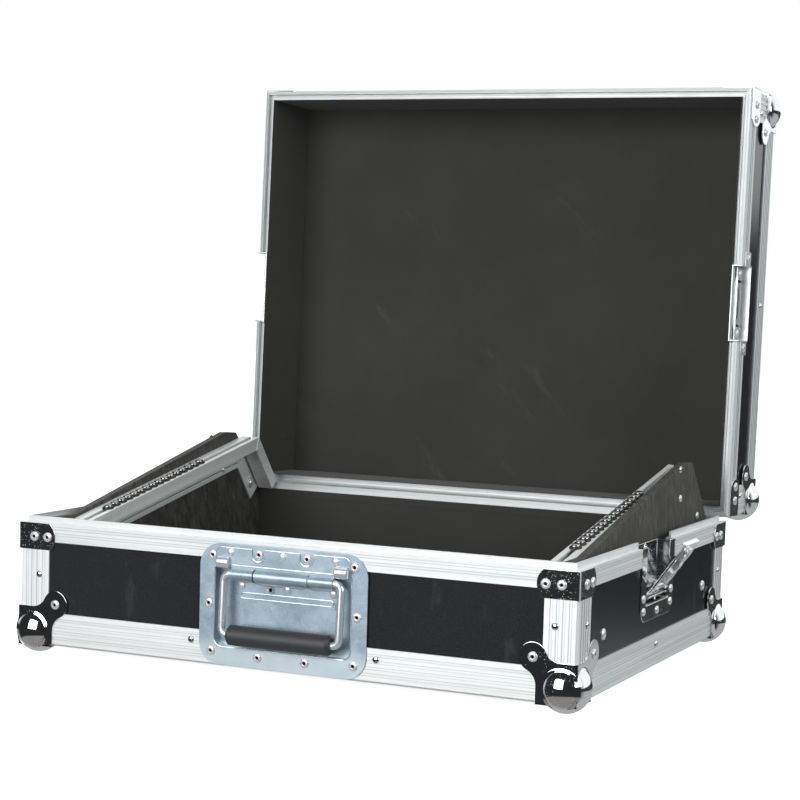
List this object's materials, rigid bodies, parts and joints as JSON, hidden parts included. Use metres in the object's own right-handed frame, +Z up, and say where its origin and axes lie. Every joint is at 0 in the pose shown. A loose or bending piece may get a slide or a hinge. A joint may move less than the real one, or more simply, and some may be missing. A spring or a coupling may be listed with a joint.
{
  "type": "flight case",
  "caption": "Shallow road case for a rack mixer: lid on rear stop hinges, butterfly side latches, sprung front handle and sloping slotted rails.",
  "frame": {"origin": "middle of the bounding box on the floor that the case stands on", "axes": "+X to the right seen from the front, +Y to the back where the lid is hinged, +Z up"},
  "size_m": [0.6002, 0.5695, 0.551],
  "materials": {
    "laminated_panel": "black fine-grained laminate on plywood",
    "foam_lining": "matt closed-cell foam",
    "extrusion": "bright anodised, finely banded",
    "chrome_fitting": "polished plating with light scratches",
    "zinc_steel": "blue zinc plating",
    "grip_rubber": "smooth black rubber",
    "dark_board": "dark stained board",
    "rack_rail": "plain mill aluminium"
  },
  "bodies": {
    "base": {"base_floor_panel": "laminated_panel", "base_front_panel": "laminated_panel", "base_back_panel": "laminated_panel", "base_left_panel": "laminated_panel", "base_right_panel": "laminated_panel", "base_floor_lining": "foam_lining", "base_wall_lining": "foam_lining", "base_front_edge": "extrusion", "base_back_edge": "extrusion", "base_side_edges": "extrusion", "base_corner_posts": "extrusion", "base_front_rim": "extrusion", "base_back_rim": "extrusion", "base_left_rim": "extrusion", "base_right_rim": "extrusion", "base_ball_corners": "chrome_fitting", "base_rim_brackets": "chrome_fitting", "left_rack_board": "dark_board", "right_rack_board": "dark_board", "left_rack_rail": "rack_rail", "right_rack_rail": "rack_rail", "handle_tray": "zinc_steel", "handle_strap": "zinc_steel", "left_latch_dish": "chrome_fitting", "right_latch_dish": "chrome_fitting", "latch_pivot_pins": "chrome_fitting", "base_hinge_leaves": "zinc_steel", "hinge_pins": "zinc_steel"},
    "lid": {"lid_top_panel": "laminated_panel", "lid_front_panel": "laminated_panel", "lid_back_panel": "laminated_panel", "lid_left_panel": "laminated_panel", "lid_right_panel": "laminated_panel", "lid_lining": "foam_lining", "lid_front_edge": "extrusion", "lid_back_edge": "extrusion", "lid_side_edges": "extrusion", "lid_corner_posts": "extrusion", "lid_front_rim": "extrusion", "lid_back_rim": "extrusion", "lid_left_rim": "extrusion", "lid_right_rim": "extrusion", "lid_ball_corners": "chrome_fitting", "lid_rim_brackets": "chrome_fitting", "left_latch_keeper": "chrome_fitting", "right_latch_keeper": "chrome_fitting", "lid_hinge_leaves": "zinc_steel"},
    "bail": {"handle_bail": "chrome_fitting", "handle_grip": "grip_rubber"},
    "left_arm": {"left_latch_arm": "chrome_fitting"},
    "right_arm": {"right_latch_arm": "chrome_fitting"},
    "left_wing": {"left_latch_wing": "chrome_fitting"},
    "right_wing": {"right_latch_wing": "chrome_fitting"}
  },
  "joints": [
    {"name": "lid_hinge", "type": "hinge", "parent": "base", "child": "lid", "pos_m": [0, 0.15829, 0.1174], "axis": [1, 0, 0], "range_deg": [0, 92.5]},
    {"name": "handle_hinge", "type": "hinge", "parent": "base", "child": "bail", "pos_m": [0, -0.27281, 0.0907], "axis": [-1, 0, 0], "range_deg": [0, 90], "stiffness_Nm_per_rad": 0.08, "springref_deg": -28.65},
    {"name": "right_latch_hinge", "type": "hinge", "parent": "base", "child": "right_arm", "pos_m": [0.264, -0.05931, 0.0747], "axis": [0, -1, 0], "range_deg": [0, 35]},
    {"name": "right_wing_turn", "type": "hinge", "parent": "right_arm", "child": "right_wing", "pos_m": [0.28571, -0.05931, 0.10222], "axis": [0.8192, 0, -0.5736], "range_deg": [-90, 90]},
    {"name": "left_latch_hinge", "type": "hinge", "parent": "base", "child": "left_arm", "pos_m": [-0.264, -0.05931, 0.0747], "axis": [0, 1, 0], "range_deg": [0, 35]},
    {"name": "left_wing_turn", "type": "hinge", "parent": "left_arm", "child": "left_wing", "pos_m": [-0.28571, -0.05931, 0.10222], "axis": [-0.8192, 0, -0.5736], "range_deg": [-90, 90]}
  ]
}
